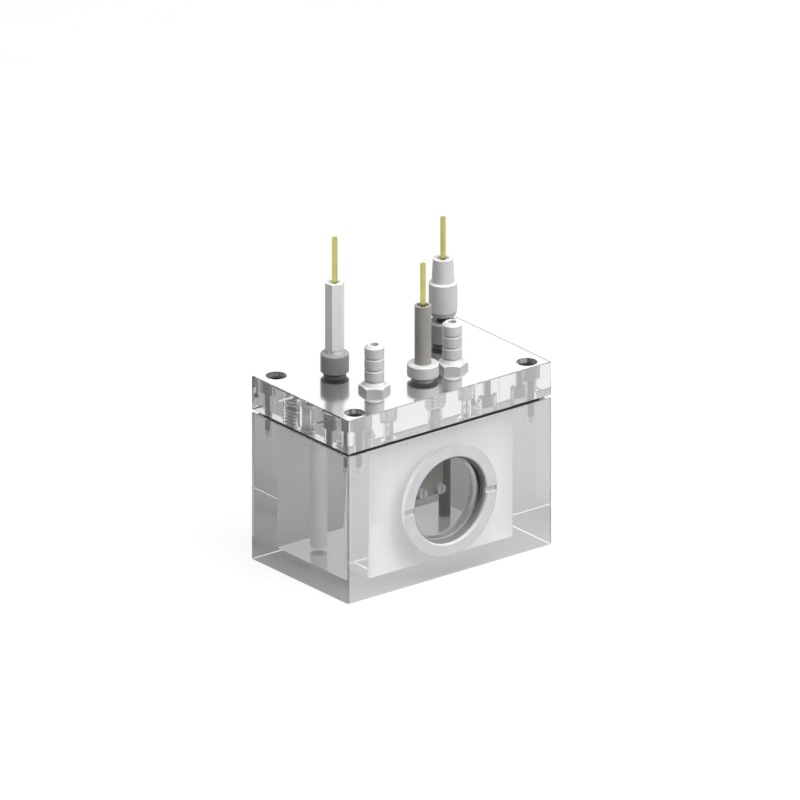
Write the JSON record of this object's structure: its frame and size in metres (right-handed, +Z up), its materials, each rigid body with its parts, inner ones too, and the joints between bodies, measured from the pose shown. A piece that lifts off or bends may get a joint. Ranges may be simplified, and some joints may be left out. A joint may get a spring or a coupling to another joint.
{
  "type": "electrochemical cell",
  "caption": "Clear rectangular electrochemical cell with a round front window, a screwed lid, electrodes with lead pins in gland nuts, and hose barbs for gas.",
  "frame": {"origin": "middle of the block's underside", "axes": "+Z up, +X to the right along the windowed face, -Y out of the windowed face"},
  "size_m": [0.09, 0.054, 0.12],
  "materials": {
    "clear_acrylic": "polished clear acrylic",
    "quartz": "polished clear quartz",
    "black_seal": "matt black elastomer",
    "pale_seal": "pale elastomer",
    "white_polymer": "satin white fluoropolymer",
    "ring_polymer": "satin off-white plastic",
    "grey_polymer": "satin grey plastic",
    "beige_polymer": "satin warm grey polymer",
    "brass_pin": "bright gold-plated brass",
    "screw_steel": "bright stainless steel",
    "carbon": "dark grey carbon",
    "platinum": "bright precious metal"
  },
  "bodies": {
    "cell": {"cell_body": "clear_acrylic", "lid_gasket": "black_seal", "window_inner_seal": "pale_seal", "window_glass": "quartz", "window_outer_seal": "black_seal"},
    "window_ring": {"window_ring": "ring_polymer"},
    "lid": {"lid": "clear_acrylic", "lid_screws": "screw_steel", "gas_inlet": "white_polymer", "gas_outlet": "white_polymer", "left_gland_seal": "pale_seal", "centre_gland_seal": "pale_seal", "right_gland_seal": "pale_seal"},
    "left_nut": {"left_nut": "grey_polymer"},
    "centre_nut": {"centre_nut": "white_polymer"},
    "right_nut": {"right_nut": "grey_polymer"},
    "left_electrode": {"left_rod": "white_polymer", "left_pin": "brass_pin", "left_disc": "carbon"},
    "centre_electrode": {"centre_rod": "beige_polymer", "centre_pin": "brass_pin", "clamp_block": "beige_polymer", "clamp_contact": "platinum"},
    "clamp_jaw": {"clamp_jaw": "beige_polymer", "clamp_screws": "white_polymer"},
    "right_electrode": {"right_cap": "white_polymer", "right_rod": "carbon", "right_pin": "brass_pin"}
  },
  "joints": [
    {"name": "lid_lift", "type": "slide", "parent": "cell", "child": "lid", "axis": [0, 0, 1], "range_m": [0, 0.075]},
    {"name": "window_ring_turn", "type": "hinge", "parent": "cell", "child": "window_ring", "pos_m": [0.0005, -0.027, 0.0275], "axis": [0, -1, 0], "range_deg": [0, 720]},
    {"name": "left_electrode_slide", "type": "slide", "parent": "lid", "child": "left_electrode", "axis": [0, 0, 1], "range_m": [-0.001, 0.072]},
    {"name": "centre_electrode_slide", "type": "slide", "parent": "lid", "child": "centre_electrode", "axis": [0, 0, 1], "range_m": [-0.0195, 0.011]},
    {"name": "right_electrode_slide", "type": "slide", "parent": "lid", "child": "right_electrode", "axis": [0, 0, 1], "range_m": [0, 0.075]},
    {"name": "left_nut_turn", "type": "hinge", "parent": "lid", "child": "left_nut", "pos_m": [-0.0217, 0.0099, 0.0727], "axis": [0, 0, 1], "range_deg": [0, 720]},
    {"name": "centre_nut_turn", "type": "hinge", "parent": "lid", "child": "centre_nut", "pos_m": [0, -0.012, 0.0715], "axis": [0, 0, 1], "range_deg": [0, 720]},
    {"name": "right_nut_turn", "type": "hinge", "parent": "lid", "child": "right_nut", "pos_m": [0.0252, 0.0087, 0.073], "axis": [0, 0, 1], "range_deg": [0, 720]},
    {"name": "clamp_jaw_slide", "type": "slide", "parent": "centre_electrode", "child": "clamp_jaw", "axis": [0, -1, 0], "range_m": [0, 0.001]}
  ]
}
